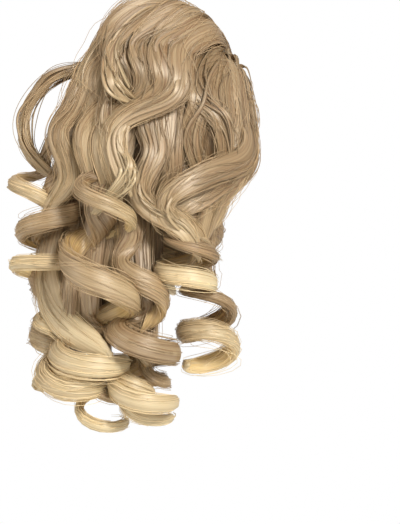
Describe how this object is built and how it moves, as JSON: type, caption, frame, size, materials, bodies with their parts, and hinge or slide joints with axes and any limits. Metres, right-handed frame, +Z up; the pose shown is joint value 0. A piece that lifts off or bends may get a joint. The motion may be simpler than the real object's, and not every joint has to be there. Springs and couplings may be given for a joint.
{
  "type": "clip-in hair extension",
  "caption": "Bushy curled ponytail hairpiece: blonde locks arch over a shallow base cap, roll into waves and end in loose ringlets; it clips on the back of a head.",
  "frame": {"origin": "middle of the base cap's rim, where it sits on the back of the head", "axes": "+Y points into the head, +X to the head's right, +Z up; the hair hangs on the -Y side"},
  "size_m": [0.1587, 0.1482, 0.3037],
  "materials": {
    "hair": "golden ash blonde synthetic hair in smooth glossy locks, darker in the folds and pale lemon at the tips",
    "cap_net": "brown woven net",
    "comb_plastic": "dark brown moulded plastic"
  },
  "bodies": {
    "root": {"base_cap": "cap_net", "comb": "comb_plastic", "crown_weft": "hair", "right_weft": "hair", "left_weft": "hair", "front_weft": "hair", "far_weft": "hair"}
  },
  "joints": []
}
